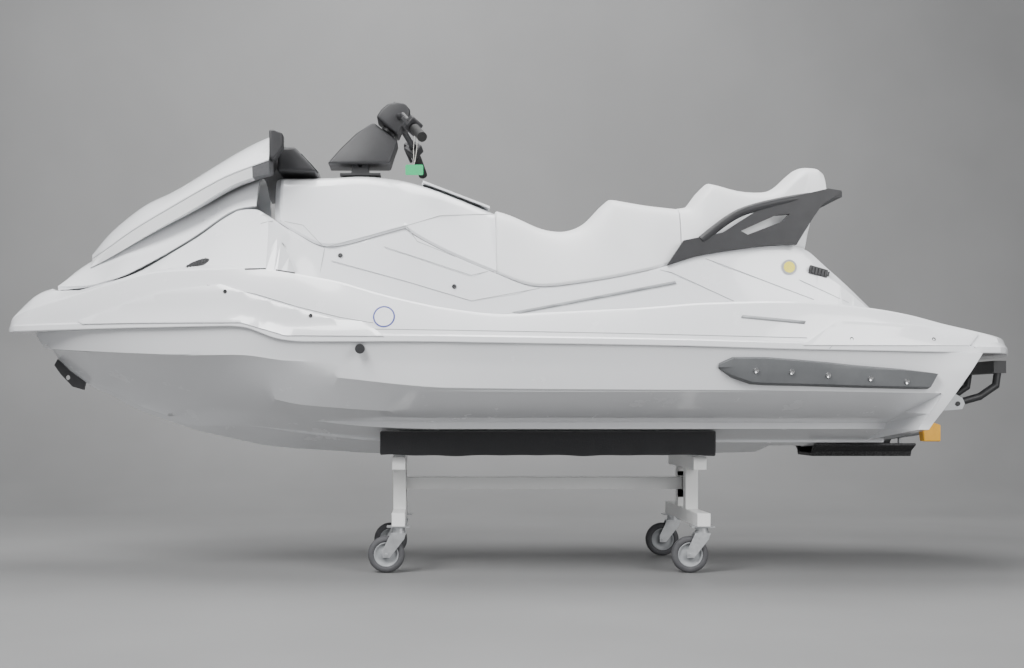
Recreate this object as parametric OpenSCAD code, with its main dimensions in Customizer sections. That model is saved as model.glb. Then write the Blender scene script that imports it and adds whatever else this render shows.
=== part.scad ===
// Personal watercraft on its shop dolly, in millimetres.
// The bow points to -X, port is -Y and +Z is up. The origin is on the floor, under the middle of the craft.

/* [Craft] */
// Length over the deck, bow tip to the platform's aft edge
hull_l = 3585; // [2900:5:4300]
// Widest beam, over the rub rails
hull_w = 1270; // [1050:10:1530]
// Height from the keel to the top of the handlebar
hull_h = 1215; // [1000:5:1460]
// Width of the handlebar over the grip ends
bar_w = 780; // [640:10:940]
// Diameter of a handlebar grip
grip_d = 34; // [28:1:41]
// Diameter of the pump's bore
pump_bore = 160; // [133:1:180]
// Wall of the pump housing
pump_wall = 14; // [8:1:17]
// Diameter of the nozzle's outlet
nozzle_bore = 86; // [70:1:103]
// Diameter of the boarding step's tube
step_tube = 26; // [20:1:32]
// Radius of the hole in the stern tow eye
tow_eye_r = 18; // [14:0.5:22]
// Radius of the hole in the bow eye
bow_eye_r = 9; // [6:0.5:11]

/* [Dolly] */
// Diameter of a caster wheel
wheel_d = 127; // [100:1:153]
// Width of a caster wheel
wheel_w = 32; // [24:1:40]
// Side of the square tube
tube = 45; // [36:1:54]
// Height of the posts between the cross tubes
post_h = 147; // [120:1:176]
// Distance between the two end frames
frame_gap = 1048; // [840:2:1250]
// Length of a lower cross tube
foot_l = 660; // [540:2:790]
// Length of a bunk
bunk_l = 1164; // [940:2:1390]
// Height of a bunk's outer face
bunk_h = 98; // [80:1:117]

/* [Hidden] */
$fn = 48;

gap = 0.3;                       // between pieces that rest on each other
ref_l = 3667;                    // the length, beam and height that the lines below are drawn at
ref_w = 1270;
ref_h = 1241;
mid_x = 49;                      // the middle of the drawn length
kl = hull_l / ref_l;
kw = hull_w / ref_w;
kh = hull_h / ref_h;

// ---- Stand heights, from the floor up
fork_rise = 98.5;                // wheel axle to the underside of the lower cross tube
caster_h = wheel_d / 2 + fork_rise;
upper_z = caster_h + tube + post_h;
bunk_z = upper_z + tube;
strake_h = 97;                   // height above the keel where the bunk's outer edge bears
keel_z = bunk_z + bunk_h - strake_h * kh + gap;

// ---- Curves through a few points: [x, value, value...], x rising, no overshoot
function pick(t, x, i = 0) = (i >= len(t) - 2 || x < t[i + 1][0]) ? i : pick(t, x, i + 1);
function chord(t, i, c) = (t[i + 1][c] - t[i][c]) / (t[i + 1][0] - t[i][0]);
function tangent(t, i, c) =
    i == 0 ? chord(t, 0, c)
    : i == len(t) - 1 ? chord(t, i - 1, c)
    : let (a = chord(t, i - 1, c), b = chord(t, i, c)) a * b <= 0 ? 0 : 2 * a * b / (a + b);
function along(t, x, c = 1) =
    let (
        i = pick(t, x),
        w = t[i + 1][0] - t[i][0],
        u = min(1, max(0, (x - t[i][0]) / w)),
        m0 = tangent(t, i, c) * w,
        m1 = tangent(t, i + 1, c) * w
    )
    t[i][c] * (2 * u ^ 3 - 3 * u ^ 2 + 1) + m0 * (u ^ 3 - 2 * u ^ 2 + u)
    + t[i + 1][c] * (3 * u ^ 2 - 2 * u ^ 3) + m1 * (u ^ 3 - u ^ 2);
function mix(a, b, k) = a + (b - a) * k;
function clamp01(v) = min(1, max(0, v));

// A point of the craft: x and y on the reference lines, h above the keel
function craft(x, y, h) = [(x - mid_x) * kl, y * kw, keel_z + h * kh];
function mm(x) = (x - mid_x) * kl;
function up(h) = keel_z + h * kh;

// ---- Skins
// A ring is half a section, [x, y, h] with y >= 0, from its lowest point round to its highest.
function whole(half) = concat(
    half,
    [for (j = [len(half) - 1:-1:0]) if (half[j][1] > 0) [half[j][0], -half[j][1], half[j][2]]]
);
function put(ring) = [for (p = ring) craft(p[0], p[1], p[2])];
function skin_faces(n, m) = [
    for (i = [0:n - 2], j = [0:m - 1])
        let (a = i * m + j, b = i * m + (j + 1) % m, c = a + m, d = b + m)
            each [[a, c, b], [b, c, d]]
];
function other(j, m, s) = j == 0 || j == 2 * s - 1 ? j : m - j;

// Closed skin over half sections. Each has as many points underneath, centre to edge, as over the top.
module skin(halves) {
    rings = [for (h = halves) put(whole(h))];
    n = len(rings);
    m = len(rings[0]);
    s = len(halves[0]) / 2;
    cap = [
        for (j = [0:s - 2])
            let (k = 2 * s - 2 - j)
                each [
                    [j, j + 1, k + 1], [j + 1, k, k + 1],
                    [other(j + 1, m, s), other(j, m, s), other(k + 1, m, s)],
                    [other(k, m, s), other(j + 1, m, s), other(k + 1, m, s)]
                ]
    ];
    polyhedron([for (r = rings) each r], concat(
        skin_faces(n, m),
        cap,
        [for (f = cap) [f[2] + (n - 1) * m, f[1] + (n - 1) * m, f[0] + (n - 1) * m]]
    ), convexity = 8);
}
module both() {
    children();
    mirror([0, 1, 0]) children();
}
// A flat shape drawn in x and z, extruded along y from y0 outwards
module plate_xz(points, y0, t) {
    translate([0, y0 + t, 0]) rotate([90, 0, 0]) linear_extrude(height = t) polygon(points);
}
module rod(a, b, r) {
    d = b - a;
    l = norm(d);
    translate(a) rotate([0, acos(d[2] / l), atan2(d[1], d[0])]) cylinder(h = l, r = r);
}

// ---- Lines of the craft, [x, y, h]
bumper = [ // half breadth over the rub rail, and the deck joint's height
    [-1785, 14, 452], [-1772, 48, 451], [-1740, 92, 450], [-1681, 140, 449], [-1500, 245, 448],
    [-1300, 350, 447], [-1100, 435, 446], [-900, 500, 446], [-863, 510, 445], [-712, 548, 398],
    [-638, 562, 390], [-500, 590, 389], [-300, 615, 388], [0, 632, 383], [600, 635, 373],
    [1000, 630, 362], [1300, 612, 357], [1600, 575, 353], [1700, 545, 353], [1750, 480, 353],
    [1784, 400, 353], [1827, 300, 353], [1857, 200, 353], [1876, 100, 353], [1882, 14, 353]
];
hull_top = [ // half breadth of the hull at the deck joint
    [-1681, 14], [-1640, 70], [-1500, 215], [-1300, 335], [-1100, 420], [-900, 487], [-700, 540],
    [-500, 580], [-300, 606], [0, 624], [600, 627], [1000, 622], [1300, 604], [1600, 568]
];
keel = [
    [-1681, 440], [-1653, 393], [-1624, 389], [-1604, 353], [-1498, 264], [-1450, 233],
    [-1409, 225], [-1337, 179], [-1239, 140], [-1174, 118], [-1093, 89], [-971, 62], [-809, 29],
    [-701, 19], [-551, 10], [-416, 1], [-300, 0], [700, 0], [1000, 6], [1465, 8]
];
keel_strake = [
    [-1110, 4, 97], [-1000, 60, 106], [-880, 110, 104], [-700, 140, 82], [-545, 150, 64],
    [-412, 154, 52], [-200, 155, 46], [1400, 155, 46], [1465, 155, 46]
];
bunk_strake = [
    [-1200, 4, 132], [-1000, 120, 165], [-800, 230, 152], [-600, 275, 122], [-430, 292, 105],
    [-215, 299, strake_h], [1390, 300, strake_h], [1430, 530, strake_h], [1465, 530, strake_h]
];
chine_low = [
    [-1290, 4, 170], [-1179, 80, 205], [-1092, 170, 230], [-1005, 250, 243], [-900, 320, 236],
    [-760, 375, 203], [-657, 405, 181], [-520, 428, 170], [-435, 436, 163], [-215, 446, 158],
    [1390, 446, 156], [1430, 540, 150], [1465, 540, 148]
];
chine_high = [
    [-1455, 4, 240], [-1347, 100, 268], [-1212, 220, 303], [-1080, 310, 318], [-875, 420, 315],
    [-719, 480, 298], [-518, 535, 272], [-143, 575, 237], [480, 577, 231], [880, 574, 229],
    [1390, 556, 220], [1465, 552, 218]
];
knuckle = [ // spray rail along the bow: half breadth share of the deck joint, and height
    [-1681, 0.8, 430], [-1650, 0.8, 394], [-1425, 0.86, 373], [-1208, 0.92, 360], [-900, 0.95, 345],
    [-600, 0.96, 330], [1600, 0.96, 290]
];
knuckle_step = [[-1681, 2], [-1640, 16], [-1425, 12], [-1100, 4], [-900, 0.6], [1600, 0.6]];
joint_drop = [ // how far the deck reaches down into the hull, where the footwells are
    [-1681, 4], [-1300, 16], [-800, 30], [-700, 52], [-630, 105], [-560, 146], [-480, 162], [0, 158], [1000, 138], [1180, 104], [1300, 80],
    [1400, 50], [1600, 1]
];
bay = [[-172, 0], [-168, 1], [470, 1], [474, 0]]; // where the engine bay is
bay_w = 205;
bay_floor = 130;
bay_roof = 545;
transom_rake = 0.62;             // how far the transom leans aft for each mm of height

hull_stations = [
    -1681, -1667, -1653, -1640, -1624, -1604, -1560, -1500, -1450, -1409, -1340, -1290, -1240, -1180,
    -1110, -1050, -1000, -950, -900, -863, -830, -820, -795, -780, -750, -740, -712, -710, -680, -640, -580, -520, -440,
    -360, -280, -200, -172, -168, 0, 150, 300, 470, 474, 700, 850, 1000, 1100, 1200, 1300, 1390,
    1430, 1465
];
// The sections lean with the transom towards the stern
function lean(x, h) = x + transom_rake * clamp01((x - 1200) / 265) * (h - 97);
// Half breadth inside the hull's side, where it narrows forward under the footwells
function room_at(x, h) = x < -1000 || x > 600 ? 2000 : side_at(x, h) - 30 + max(0, x + 300) * 0.3;
function hull_half(x) =
    let (
        k = along(keel, x),
        xt = lean(x, along(bumper, x, 2)),
        top = along(bumper, xt, 2) - 0.3 * clamp01((x - 1180) / 20),
        yt = along(hull_top, xt),
        xd = lean(x, top - along(joint_drop, xt)),
        deep = along(bumper, xd, 2) - along(joint_drop, xd),
        yi = max(yt - 60, yt * 0.5),
        yd = min(max(along(hull_top, xd) - 60, along(hull_top, xd) * 0.5), room_at(x, deep)),
        inner = along(bay, x),
        s1 = 12 * clamp01((x + 880) / 380) + 1,
        s2 = 26 * clamp01((x + 620) / 320) + 1,
        ks = along(knuckle_step, x),
        r = top - k,
        a = [max(along(keel_strake, x), yt * 0.03), max(along(keel_strake, x, 2), k + r * 0.03)],
        f = [a[0] + min(1, yt * 0.02), a[1] + min(s1, r * 0.02 + 0.1)],
        b = [max(along(bunk_strake, x), f[0] + yt * 0.02), max(along(bunk_strake, x, 2), f[1] + r * 0.02)],
        g = [b[0] + min(2, yt * 0.02), b[1] + min(s2, r * 0.06 + 0.1)],
        c = [max(along(chine_low, x), g[0] + yt * 0.03), max(along(chine_low, x, 2), g[1] + r * 0.03)],
        d = [max(along(chine_high, x), c[0] + yt * 0.04), max(along(chine_high, x, 2), c[1] + r * 0.04)],
        e = [max(yt * along(knuckle, x), d[0] + yt * 0.03), max(along(knuckle, x, 2), d[1] + r * 0.1)],
        pts = [
            [0, k], [a[0] * 0.5, mix(k, a[1], 0.5)], a, f, b, g, c, d,
            [max(e[0] - ks, mix(d[0], e[0], 0.5)), e[1] - r * 0.01], e,
            [max(yt, e[0] + 0.3), top],
            [yi + min(6, yt * 0.2), top],
            [yd + min(1, yt * 0.1), deep],
            [min(bay_w + 1, yi * 0.7 + 1), deep],
            [min(bay_w, yi * 0.7), mix(deep - 0.5, bay_floor, inner)],
            [0, mix(deep - 0.5, bay_floor, inner)]
        ]
    )
    [for (p = pts) [lean(x, p[1]), p[0], p[1]]];

module tunnel_cut() {
    axis_h = pump_h;
    translate(craft(tunnel_x, 0, axis_h)) rotate([0, 90, 0])
        cylinder(h = 900 * kl, r = pump_bore / 2 + pump_wall + 8);
    w = pump_bore / 2 + pump_wall + 8;
    ramp = [[905, -80], [1010, 10], [tunnel_x + 1, axis_h + 60], [1900, axis_h + 60], [1900, -80]];
    plate_xz([for (p = ramp) [mm(p[0]), keel_z + p[1]]], -w, 2 * w);
}
module hull_shell() {
    color("white") difference() {
        skin([for (x = hull_stations) hull_half(x)]);
        tunnel_cut();
    }
}

// ---- Deck
gunwale = [ // half breadth and height of the gunwale's top outer edge
    [-1785, 12, 462], [-1761, 46, 502], [-1612, 165, 545], [-1480, 238, 575], [-1278, 334, 624],
    [-1142, 388, 646], [-1023, 428, 648], [-845, 478, 650], [-732, 504, 637], [-620, 526, 614],
    [-517, 545, 594], [-418, 558, 562], [-299, 572, 531], [-132, 581, 498], [27, 588, 481],
    [217, 589, 489], [483, 590, 502], [702, 589, 519], [979, 586, 525], [1120, 579, 517],
    [1272, 571, 501], [1383, 560, 483], [1508, 545, 452], [1618, 530, 429], [1700, 512, 412],
    [1750, 450, 403], [1784, 372, 398], [1827, 275, 397], [1857, 178, 396], [1876, 80, 396],
    [1882, 8, 396]
];
foot = [ // the footwell's outer and inner foot: share of the gunwale's breadth, height, breadth, height
    [-1785, 0.8, 464, 6, 465], [-1761, 0.8, 508, 24, 512], [-1612, 0.75, 566, 85, 600],
    [-1480, 0.72, 596, 130, 600], [-1306, 0.78, 632, 222, 634], [-1138, 0.8, 660, 250, 718],
    [-1014, 0.82, 668, 262, 790], [-904, 0.84, 666, 275, 860], [-795, 0.85, 640, 278, 850],
    [-710, 0.86, 590, 272, 700], [-640, 0.87, 450, 262, 520], [-560, 0.88, 300, 248, 330],
    [-450, 0.88, 252, 236, 262], [-300, 0.88, 246, 232, 248], [1000, 0.88, 262, 232, 264],
    [1180, 0.88, 300, 240, 302], [1330, 0.88, 384, 262, 386], [1500, 0.88, 388, 270, 390],
    [1700, 0.86, 388, 260, 390], [1784, 0.8, 388, 190, 390], [1876, 0.7, 390, 30, 390],
    [1882, 0.6, 390, 3, 390]
];
saddle = [ // top of the saddle that carries the console and seats: half breadth and height
    [-1785, 4, 465.5], [-1761, 14, 513], [-1612, 50, 612], [-1590, 56, 602], [-1560, 64, 592], [-1480, 100, 590],
    [-1306, 206, 636], [-1138, 236, 722], [-1014, 248, 796], [-904, 258, 871], [-840, 256, 880],
    [-795, 250, 860], [-700, 232, 800], [-580, 218, 745], [-420, 214, 780], [-300, 212, 815],
    [-268, 212, 790], [-2, 212, 665], [185, 212, 604], [340, 212, 620], [586, 210, 666],
    [780, 206, 722], [1081, 190, 757], [1138, 186, 747], [1216, 180, 685], [1317, 172, 598],
    [1389, 166, 529], [1470, 160, 440], [1520, 156, 394], [1784, 100, 391], [1876, 14, 391],
    [1882, 2, 391]
];
deck_stations = [
    -1785, -1779, -1772, -1761, -1740, -1700, -1682, -1681, -1650, -1612, -1590, -1560, -1520, -1480, -1420, -1360,
    -1306, -1240, -1180, -1138, -1075, -1014, -960, -904, -863, -830, -820, -795, -780, -750, -740, -712, -710, -675, -640,
    -600, -560, -505, -450, -380, -300, -268, -220, -172, -168, -100, -30, 28, 34, 85, 131, 165, 203,
    240, 274, 305, 332, 355, 375, 400, 425, 453, 470, 474, 532, 600, 640, 690, 700, 720, 741, 760,
    782, 819, 855, 893, 955, 1030, 1055, 1081, 1105, 1138, 1165, 1190, 1216, 1270, 1317, 1389, 1430, 1470, 1500, 1520, 1560,
    1620, 1700, 1730, 1750, 1768, 1784, 1806, 1827, 1843, 1857, 1868, 1876, 1882
];
function deck_half(x) =
    let (
        rail = along(bumper, x), top = along(bumper, x, 2) + gap,
        yt = along(hull_top, min(x, 1600)),
        drop = x < -1681 ? 0 : along(joint_drop, min(x, 1600)),
        deep = top - max(drop - 3, 0),
        yi = x < -1681 ? rail * 0.45 : x > 1600 ? rail * 0.6 : max(yt - 60, yt * 0.5),
        inner = along(bay, x),
        gy = along(gunwale, x), gh = along(gunwale, x, 2),
        fo = along(foot, x, 1) * gy, foh = along(foot, x, 2),
        fi = min(along(foot, x, 3), fo * 0.92), fih = along(foot, x, 4),
        sy = min(along(saddle, x, 1), fi * 0.96), sh = along(saddle, x, 2),
        lift = max(gh - top, 8)
    )
    [for (p = [
        [0, mix(deep, bay_roof, inner)],
        [min(bay_w, yi * 0.7), mix(deep, bay_roof, inner)],
        [min(bay_w + 1, yi * 0.7 + 0.3), deep],
        [min(yi - min(6, yi * 0.15), room_at(x, deep) - 8), deep],
        [yi + min(2, yi * 0.1), top],
        [rail - 2, top],
        [rail, top + 3],
        [rail, top + min(20, lift * 0.4)],
        [max(rail - 8, gy + 0.5), top + min(26, lift * 0.5)],
        [mix(rail, gy, 0.55), top + lift * 0.62],
        [gy, gh - min(6, lift * 0.1)],
        [gy - min(7, gy * 0.1), gh],
        [max(gy - 40, gy * 0.86), gh - 1],
        [max(gy - 52, gy * 0.84), mix(gh, foh, 0.3)],
        [fo, foh],
        [fi, fih],
        [mix(fi, sy, 0.9), mix(fih, sh, 0.9)],
        [max(sy - 12, sy * 0.9), sh],
        [max(sy * 0.5, 0.5), sh + 1],
        [0, sh + 1]
    ]) [x, p[0], p[1]]];

bin_x = [-1330, -960];
bin_w = 300;
module deck() {
    color("white") difference() {
        skin([for (x = deck_stations) deck_half(x)]);
        // Bow storage bin
        translate([mm(bin_x[0]), -bin_w / 2 * kw, up(468)])
            cube([(bin_x[1] - bin_x[0]) * kl, bin_w * kw, 600 * kh]);
    }
}

// ---- Hood, trim and cowl
barrel_r = 4; // hinge barrels of the hood and the glove box lid
hood_top = [ // centre height, half breadth and height at the edge, width of the crown
    [-1588, 622, 62, 616], [-1555, 662, 84, 612], [-1466, 724, 125, 612], [-1401, 760, 158, 622],
    [-1320, 806, 214, 638], [-1239, 850, 228, 674], [-1150, 890, 240, 720], [-1014, 950, 254, 800],
    [-904, 1004, 264, 874], [-830, 1040, 266, 884]
];
hood_stations = [
    -1588, -1555, -1510, -1462, -1430, -1401, -1360, -1320, -1280, -1239, -1195, -1150, -1090, -1028,
    -948, -900, -850, -830
];
function hood_half(x) =
    let (c = along(hood_top, x), y = along(hood_top, x, 2), e = along(hood_top, x, 3) + 4, t = 14)
    concat(
        [for (q = [0, 0.35, 0.7, 0.9, 0.97]) [x, y * q * 0.97, mix(c, e, q ^ 2.6) - t]],
        [[x, y * 0.97, e - 1]],
        [[x, y, e]],
        [for (q = [0.985, 0.9, 0.7, 0.35]) [x, y * q, mix(c, e, q ^ 2.6) + 1]],
        [[x, 0, c + 1]]
    );
module hood() {
    color("white") {
        skin([for (x = hood_stations) hood_half(x)]);
        translate([mm(-1588), 0, up(608)]) rotate([90, 0, 0]) cylinder(h = 70, r = barrel_r, center = true);
    }
}
cowl = [ // centre height, half breadth, edge height
    [-1462, 742, 60, 722], [-1401, 813, 135, 742], [-1320, 878, 190, 786], [-1239, 931, 232, 828],
    [-1150, 965, 264, 872], [-1028, 1036, 300, 934], [-948, 1085, 318, 974], [-850, 1141, 334, 1010],
    [-777, 1172, 336, 1036]
];
cowl_stations = [-1462, -1430, -1401, -1360, -1320, -1280, -1239, -1195, -1150, -1090, -1028, -948, -900, -850, -812, -777];
function cowl_half(x, d = 0) =
    let (c = along(cowl, x), y = along(cowl, x, 2), e = along(cowl, x, 3), t = 9)
    concat(
        [for (q = [0, 0.3, 0.55, 0.75, 0.9, 0.965]) [x, y * q, mix(c, e + 8, q ^ 3) - t]],
        [[x, y - 2, e], [x, y, e + 4]],
        [for (q = [0.97, 0.9, 0.76, 0.55, 0.3]) [x, y * q, mix(c, e + 8, q ^ 3) + 4]],
        [[x, 0, c]]
    );
module hood_cowl() {
    color("white") skin([for (x = cowl_stations) cowl_half(x)]);
}
module hood_trim() {
    color("dimgray") skin([for (x = cowl_stations) trim_half(x)]);
}
function trim_half(x) =
    let (
        c = along(cowl, x), y = along(cowl, x, 2), e = along(cowl, x, 3),
        hc = x < -830 ? along(hood_top, x) : along(hood_top, -830) + (x + 830) * 0.4,
        hy = x < -830 ? along(hood_top, x, 2) : along(hood_top, -830, 2),
        he = (x < -830 ? along(hood_top, x, 3) : along(hood_top, -830, 3)) + 4,
        q = min(0.9, (y - 12) / hy)
    )
    [for (p = [
        [0, hc + 5.4], [hy * 0.35, mix(hc, he, 0.35 ^ 2.6) + 5],
        [hy * 0.7, mix(hc, he, 0.7 ^ 2.6) + 5.3], [max(hy * 0.72, y - 16), mix(hc, he, 0.72 ^ 2.6) + 6.2],
        [y - 5, e - 7], [y - 4, e - 1],
        [y * 0.9, mix(c, e + 8, 0.73) - 16], [y * 0.7, mix(c, e + 8, 0.343) - 14],
        [y * 0.3, c - 14], [0, c - 14]
    ]) [x, p[0], p[1]]];

// A solid lofted from a table of boxes with rounded shoulders: [x, half width low, half width top, low, top, crown]
function loaf_half(t, x, n = 4) =
    let (
        wl = along(t, x, 1), wt = along(t, x, 2), lo = x > 1155 ? along(t, x, 3) : on_saddle(x), hi = along(t, x, 4),
        cr = along(t, x, 5), r = min(wt * 0.45, (hi - lo) * 0.45)
    )
    concat(
        [for (i = [0:n]) [x, (wl - 6) * i / n * 0.999, lo]],
        [[x, wl, lo + min(10, (hi - lo) * 0.2)]],
        [[x, mix(wl, wt, 0.6), mix(lo, hi - cr, 0.6)]],
        [for (i = [1:n - 1]) let (a = 90 * i / n) [x, wt - r + r * cos(a), hi - cr - r * 0.8 + r * 0.8 * sin(a)]],
        [[x, (wt - r) * 0.55, hi - cr * 0.3], [x, 0, hi]]
    );
module loaf(t, stations) {
    skin([for (x = stations) loaf_half(t, x)]);
}

function on_saddle(x) = along(saddle, x, 2) + 1 + gap;
function within(list, a, b) = [for (x = list) if (x > a && x < b) x];
console_lines = [
    [-772, 190, 150, 0, 1012, 6], [-742, 226, 206, 0, 1018, 8], [-609, 222, 196, 0, 1020, 8],
    [-442, 216, 176, 0, 1030, 10], [-342, 214, 166, 0, 1022, 12], [-221, 210, 150, 0, 990, 10],
    [-108, 206, 132, 0, 948, 8], [28, 202, 116, 0, 892, 6]
];
module console() {
    color("white") difference() {
        loaf(console_lines, concat([-772], within(deck_stations, -772, 28), [28]));
        // Glove box
        translate([mm(glove_x[0]), -glove_w / 2, up(795)])
            cube([(glove_x[1] - glove_x[0]) * kl, glove_w, 400]);
        lid_hinge(150 + 1, barrel_r + gap);
    }
}
glove_x = [-215, -35];
glove_w = 150;
module lid_hinge(l, r) {
    translate([mm(-238), 0, up(997.3)]) rotate([90, 0, 0]) cylinder(h = l, r = r, center = true);
}
module glovebox_lid() {
    color("white") lid_hinge(150, barrel_r);
    color("white") plate_xz([for (p = [[-238, 997.3], [-238, 1005], [8, 910.5], [8, 902.8]]) [mm(p[0]), up(p[1])]], -98, 196);
}

seat_front = [
    [28.5, 200, 160, 0, 896, 8], [34, 206, 168, 0, 903, 12], [131, 213, 166, 0, 868, 14],
    [203, 214, 166, 0, 836, 14], [274, 214, 166, 0, 826, 14], [332, 214, 164, 0, 840, 14],
    [375, 212, 162, 0, 869, 14], [425, 211, 158, 0, 924, 14], [453, 211, 154, 0, 946, 14],
    [532, 210, 154, 0, 934, 14], [600, 206, 154, 0, 922, 12], [640, 180, 150, 0, 918, 12],
    [698, 178, 146, 0, 912, 12]
];
seat_rear = [
    [700, 178, 140, 0, 912, 10], [741, 180, 146, 0, 918, 12], [782, 180, 146, 0, 973, 14],
    [819, 179, 146, 0, 1007, 14], [893, 178, 146, 0, 987, 14], [955, 176, 144, 0, 973, 14],
    [1030, 170, 142, 0, 973, 14], [1080, 166, 138, 0, 997, 14], [1129, 160, 132, 0, 1046, 14],
    [1150, 156, 130, 0, 1058, 14], [1170, 152, 126, 850, 1066, 12], [1215, 146, 118, 906, 1062, 10],
    [1236, 140, 110, 930, 1044, 8]
];
module front_seat() {
    color("silver") loaf(seat_front, concat([28.5], within(deck_stations, 29, 698), [698]));
}
module rear_seat() {
    color("silver") loaf(seat_rear, concat(within(deck_stations, 699, 1150), [1150, 1170, 1195, 1215, 1236]));
}

// Rounded bar through a list of points
module bar(points, r) {
    for (i = [0:len(points) - 2]) rod(points[i], points[i + 1], r);
    for (i = [1:len(points) - 2]) translate(points[i]) sphere(r = r + 0.4);
}
// Loft through rings of craft points, the same number in each; every ring is convex or nearly so
module loft(rings) {
    n = len(rings);
    m = len(rings[0]);
    polyhedron([for (r = rings) each put(r)], concat(
        skin_faces(n, m),
        [for (j = [1:m - 2]) [0, j, j + 1]],
        [for (j = [1:m - 2]) let (k = (n - 1) * m) [k, k + j + 1, k + j]]
    ), convexity = 4);
}

// ---- Grab rail round the rear seat
rail_y = 186;
module grab_rail() {
    color("gray") {
        both() difference() {
            plate_xz(concat(
                [for (x = within(deck_stations, 639, 1120)) [mm(x), up(on_saddle(x)) - 0.8]],
                [for (p = [[1132, 800], [1170, 860], [1200, 902], [1246, 930], [1268, 950], [1220, 958],
                    [1100, 930], [985, 892], [930, 858], [840, 800], [700, 772]]) [mm(p[0]), up(p[1])]]
            ), rail_y * kw, 24 * kw);
            plate_xz([for (p = [[905, 806], [1030, 862], [1080, 866], [1050, 838], [930, 792]])
                [mm(p[0]), up(p[1])]], 100, 260);
        }
        translate([mm(1246), -(rail_y + 10) * kw, up(929)]) cube([26, 2 * (rail_y + 10) * kw, 20]);
    }
}

// ---- Mirrors at the cowl's aft corners
module mirrors() {
    color("dimgray") both() hull() {
        translate([mm(-777) + gap, 246 * kw, up(1044)]) cube([16, 84 * kw, 100]);
        translate([mm(-746), 262 * kw, up(1090)]) cube([16, 62 * kw, 44]);
    }
}
dash_low = [-618, 1020.4];
dash_high = [-700, 1112];
module dash() {
    color("dimgray") plate_xz([for (p = [[-764, 1020.4], dash_low, dash_high, [-758, 1112]])
        [mm(p[0]), up(p[1])]], -196 * kw, 392 * kw);
}
function on_dash(k, out) =
    let (a = [mm(dash_low[0]), up(dash_low[1])], b = [mm(dash_high[0]), up(dash_high[1])], d = b - a)
    a + d * k + [d[1], -d[0]] / norm(d) * out;
module display() {
    color("black") plate_xz([on_dash(0.12, gap), on_dash(0.12, 9), on_dash(0.9, 9), on_dash(0.9, gap)], -80, 160);
}
function floor_at(x, y) =
    let (fo = along(foot, x, 1) * along(gunwale, x), fi = along(foot, x, 3))
    mix(along(foot, x, 4), along(foot, x, 2), (y - fi) / (fo - fi));
module footwell_mats() {
    color("dimgray") both() loft([for (x = concat([-430], within(deck_stations, -430, 1000), [1000]))
        [for (p = [[262, 2.3], [480, 2.3], [480, 7.3], [262, 7.3]]) [x, p[0], floor_at(x, p[0]) + p[1]]]]);
}
module platform_mat() {
    color("dimgray") translate([mm(1545), -400 * kw, up(395)]) cube([190 * kl, 800 * kw, 6]);
}

// ---- Bow and stern fittings
module bow_eye() {
    color("black") difference() {
        plate_xz(concat(
            [for (x = [-1604, -1560, -1500]) [mm(x), up(along(keel, x)) - 0.5]],
            [for (p = [[-1506, 238], [-1548, 250], [-1592, 296], [-1616, 330]]) [mm(p[0]), up(p[1])]]
        ), -8, 16);
        translate([mm(-1566), 0, up(284)]) rotate([90, 0, 0]) cylinder(h = 40, r = bow_eye_r, center = true);
    }
}
function side_at(x, h) =
    let (
        d = [along(chine_high, x, 1), along(chine_high, x, 2)],
        e = [along(hull_top, x) * along(knuckle, x), along(knuckle, x, 2)],
        t = [along(hull_top, x), along(bumper, x, 2)]
    )
    h < e[1] ? mix(d[0], e[0], (h - d[1]) / (e[1] - d[1])) : mix(e[0], t[0], (h - e[1]) / (t[1] - e[1]));
sponson = [[742, 300, 318], [786, 270, 338], [870, 246, 338], [1000, 243, 330], [1300, 234, 300], [1390, 232, 286]];
module sponsons() {
    color("gray") both() loft([for (x = [742, 786, 850, 900, 1000, 1100, 1200, 1300, 1389])
        let (lo = along(sponson, x, 1), hi = along(sponson, x, 2), k = along(knuckle, x, 2),
            m = min(hi - 3, max(lo + 3, k)), t = 26 * clamp01((x - 730) / 50), r = lean(x, lo) - lean(x, hi))
        [for (p = [[lo, 2.6], [m, 2.6], [hi, 2.6], [hi - 6, t], [m, t + 4], [lo + 8, t]])
            [lean(x, p[0]), side_at(x, p[0]) + p[1], p[0]]]
    ]);
}
module ride_plate() {
    color("dimgray") translate([mm(1190), 0, 0]) rotate([90, 0, 90]) linear_extrude(height = 365 * kl)
        polygon([for (p = [[-150, 43.5], [-152, 34], [-104, 12], [-96, -6], [96, -6], [104, 12], [152, 34],
            [150, 43.5], [106, 32], [88, 6], [-88, 6], [-106, 32]]) [p[0] * kw, up(p[1])]]);
}
grate_y = pump_bore / 2 + pump_wall + 8 - gap;
module intake_grate() {
    color("dimgray") {
        for (y = [-72, -36, 0, 36, 72]) translate([mm(1062), y - 4, up(34)]) cube([112 * kl, 8, 10]);
        for (x = [1068, 1154]) translate([mm(x), -grate_y, up(35)]) cube([12, 2 * grate_y, 8]);
    }
}
module stern_tabs() {
    color("orange") both() plate_xz([for (p = [
        [lean(1465, 100) + 0.6, 100], [lean(1465, 128) + 0.6, 128], [1530, 112], [1530, 56], [1472, 56]
    ]) [mm(p[0]), up(p[1])]], 420 * kw, 44);
}

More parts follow.
